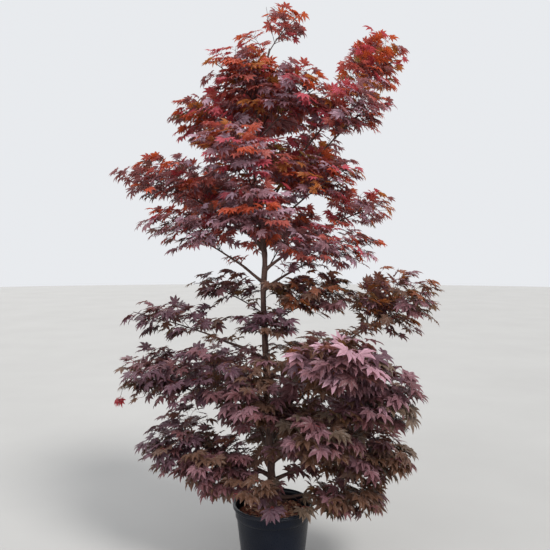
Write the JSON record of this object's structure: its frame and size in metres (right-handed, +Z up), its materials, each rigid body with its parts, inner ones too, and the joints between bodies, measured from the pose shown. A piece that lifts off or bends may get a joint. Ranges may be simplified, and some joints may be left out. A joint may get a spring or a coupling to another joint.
{
  "type": "potted japanese maple tree",
  "caption": "Young Japanese maple with open tiers of deeply lobed dark red leaves on a slim upright trunk, in a round black nursery pot full of bark-topped soil.",
  "frame": {"origin": "middle of the pot's flat underside, on the ground", "axes": "+Z up along the trunk, -Y towards the side that the picture shows, +X to the right in the picture"},
  "size_m": [1.4868, 1.1732, 2.6457],
  "materials": {
    "pot_plastic": "satin black moulded nursery pot",
    "bark_soil": "loose red-brown bark chips",
    "bark": "smooth dark young bark",
    "plum_leaves": "soft plum and dusky mauve leaves",
    "red_leaves": "brick red and crimson leaves"
  },
  "bodies": {
    "root": {"bough_back_left": "bark", "bough_back_left_lower": "bark", "bough_back_right_lower": "bark", "bough_back_skirt": "bark", "bough_back_upper": "bark", "bough_front_right_lower": "bark", "bough_front_right_outer": "bark", "bough_front_right_upper": "bark", "bough_left_big": "bark", "bough_left_long": "bark", "bough_left_lower": "bark", "bough_left_middle": "bark", "bough_left_upper": "bark", "bough_right_lower": "bark", "bough_right_middle": "bark", "bough_right_outer": "bark", "bough_right_skirt": "bark", "bough_right_upper": "bark", "bough_right_wing": "bark", "bough_shoulder_right": "bark", "bough_tip_right": "bark", "foliage_back_left": "red_leaves", "foliage_back_left_lower": "plum_leaves", "foliage_back_middle": "red_leaves", "foliage_back_right_lower": "plum_leaves", "foliage_back_skirt": "plum_leaves", "foliage_back_upper": "red_leaves", "foliage_front_lower": "plum_leaves", "foliage_front_middle": "red_leaves", "foliage_front_right_lower": "plum_leaves", "foliage_front_right_outer": "plum_leaves", "foliage_front_right_upper": "plum_leaves", "foliage_front_skirt": "plum_leaves", "foliage_front_upper": "red_leaves", "foliage_high_back": "red_leaves", "foliage_high_left": "red_leaves", "foliage_high_right": "red_leaves", "foliage_left_big": "plum_leaves", "foliage_left_inner": "plum_leaves", "foliage_left_long": "plum_leaves", "foliage_left_lower": "plum_leaves", "foliage_left_middle": "red_leaves", "foliage_left_skirt": "plum_leaves", "foliage_left_spray": "plum_leaves", "foliage_left_upper": "red_leaves", "foliage_right_lower": "plum_leaves", "foliage_right_middle": "red_leaves", "foliage_right_outer": "plum_leaves", "foliage_right_skirt": "plum_leaves", "foliage_right_spray": "plum_leaves", "foliage_right_upper": "red_leaves", "foliage_right_wing": "red_leaves", "foliage_shoulder_left": "red_leaves", "foliage_shoulder_right": "red_leaves", "foliage_tip_right": "red_leaves", "foliage_top": "red_leaves", "foliage_trunk_spray": "plum_leaves", "pot": "pot_plastic", "potting_soil": "bark_soil", "trunk": "bark"}
  },
  "joints": []
}
